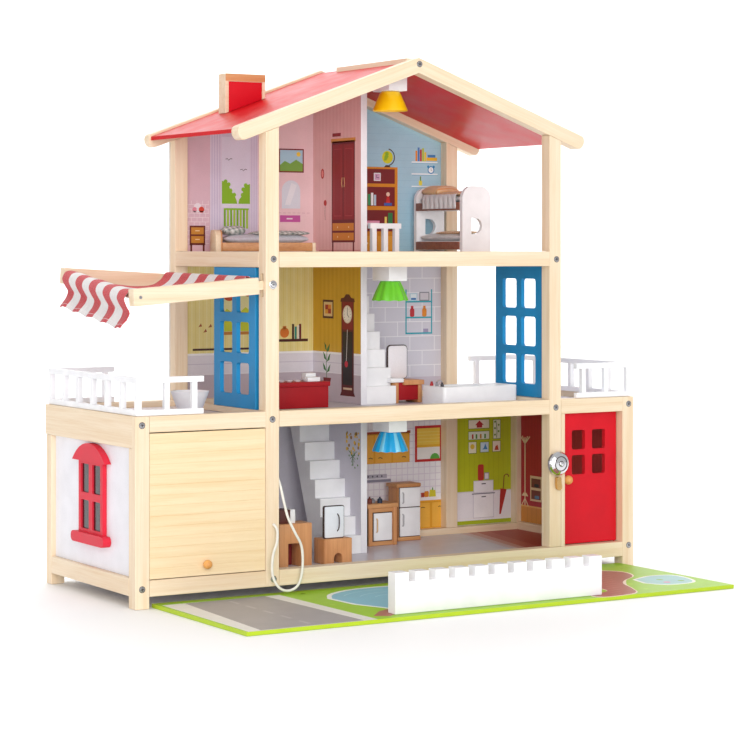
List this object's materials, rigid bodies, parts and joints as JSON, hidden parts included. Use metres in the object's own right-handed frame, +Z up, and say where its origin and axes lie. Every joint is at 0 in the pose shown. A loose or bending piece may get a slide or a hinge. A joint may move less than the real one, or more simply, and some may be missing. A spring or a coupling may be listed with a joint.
{
  "type": "wooden dollhouse",
  "caption": "Open-fronted wooden dollhouse with side wings, terraces, a tilting awning, swinging doors, stairs and a play mat in front.",
  "frame": {"origin": "centre of the object's box, on the ground under it", "axes": "+Z up, -Y towards the open front, +X to the right seen from the front"},
  "size_m": [0.8136, 0.54, 0.7262],
  "materials": {
    "natural_wood": "satin clear lacquer",
    "white_lacquer": "satin lacquer",
    "printed_board": "printed satin board",
    "red_lacquer": "gloss lacquer",
    "blue_lacquer": "satin lacquer",
    "mat_green": "printed satin board",
    "striped_cotton": "woven cotton",
    "bell_chrome": "polished",
    "lever_brass": "polished",
    "cotton_cord": "braided",
    "yellow_plastic": "satin",
    "green_plastic": "satin",
    "blue_plastic": "satin"
  },
  "bodies": {
    "root": {"attic_floor": "printed_board", "attic_lamp": "yellow_plastic", "attic_partition": "printed_board", "attic_rail_back": "natural_wood", "attic_rail_front": "natural_wood", "attic_rail_left": "natural_wood", "attic_rail_right": "natural_wood", "attic_railing": "white_lacquer", "back_gable_board": "natural_wood", "back_sill": "natural_wood", "back_wall": "printed_board", "bell_dome": "bell_chrome", "bottom_side_rail_left": "natural_wood", "bottom_side_rail_right": "natural_wood", "bunk_bed": "white_lacquer", "chimney": "natural_wood", "first_floor": "printed_board", "first_floor_lamp": "green_plastic", "first_floor_partition": "printed_board", "first_floor_rail_back": "natural_wood", "first_floor_rail_front": "natural_wood", "first_floor_stairs": "white_lacquer", "front_door_jamb": "natural_wood", "front_gable_board": "natural_wood", "front_sill": "natural_wood", "garage_partition": "printed_board", "garden_fence": "white_lacquer", "garden_mat": "mat_green", "ground_floor": "printed_board", "ground_lamp": "blue_plastic", "ground_partition": "printed_board", "ground_stairs": "white_lacquer", "left_side_wall": "printed_board", "left_terrace_railing": "white_lacquer", "main_post_back_left": "natural_wood", "main_post_back_right": "natural_wood", "main_post_front_left": "natural_wood", "main_post_front_right": "natural_wood", "pull_cord": "cotton_cord", "ridge_beam": "natural_wood", "right_side_wall": "printed_board", "right_terrace_railing": "white_lacquer", "roof_panel_left": "red_lacquer", "roof_panel_right": "red_lacquer", "side_board_left": "natural_wood", "side_board_right": "natural_wood", "side_window": "red_lacquer", "threshold_left": "natural_wood", "threshold_right": "natural_wood", "wing_post_back_left": "natural_wood", "wing_post_back_right": "natural_wood", "wing_post_front_left": "natural_wood", "wing_post_front_right": "natural_wood"},
    "garage_door": {"garage_door": "natural_wood"},
    "front_door": {"front_door": "red_lacquer"},
    "french_door_left": {"french_door_left": "blue_lacquer"},
    "french_door_right": {"french_door_right": "blue_lacquer"},
    "awning": {"awning_frame": "natural_wood", "awning_fabric": "striped_cotton"},
    "bell_lever": {"bell_lever": "lever_brass"}
  },
  "joints": [
    {"name": "garage_door_swing", "type": "hinge", "parent": "root", "child": "garage_door", "pos_m": [-0.2882, -0.015, 0.2195], "axis": [-1, 0, 0], "range_deg": [0, 90]},
    {"name": "front_door_swing", "type": "hinge", "parent": "root", "child": "front_door", "pos_m": [0.3828, -0.004, 0.132], "axis": [0, 0, -1], "range_deg": [0, 85]},
    {"name": "french_door_left_swing", "type": "hinge", "parent": "root", "child": "french_door_left", "pos_m": [-0.1992, 0.014, 0.3428], "axis": [0, 0, -1], "range_deg": [0, 85]},
    {"name": "french_door_right_swing", "type": "hinge", "parent": "root", "child": "french_door_right", "pos_m": [0.2698, 0.014, 0.3428], "axis": [0, 0, -1], "range_deg": [0, 90]},
    {"name": "awning_tilt", "type": "hinge", "parent": "root", "child": "awning", "pos_m": [-0.1932, 0.125, 0.415], "axis": [0, -1, 0], "range_deg": [-25, 25]},
    {"name": "bell_lever_swing", "type": "hinge", "parent": "root", "child": "bell_lever", "pos_m": [0.2683, -0.02, 0.133], "axis": [0, -1, 0], "range_deg": [-20, 20], "stiffness_Nm_per_rad": 0.004}
  ]
}
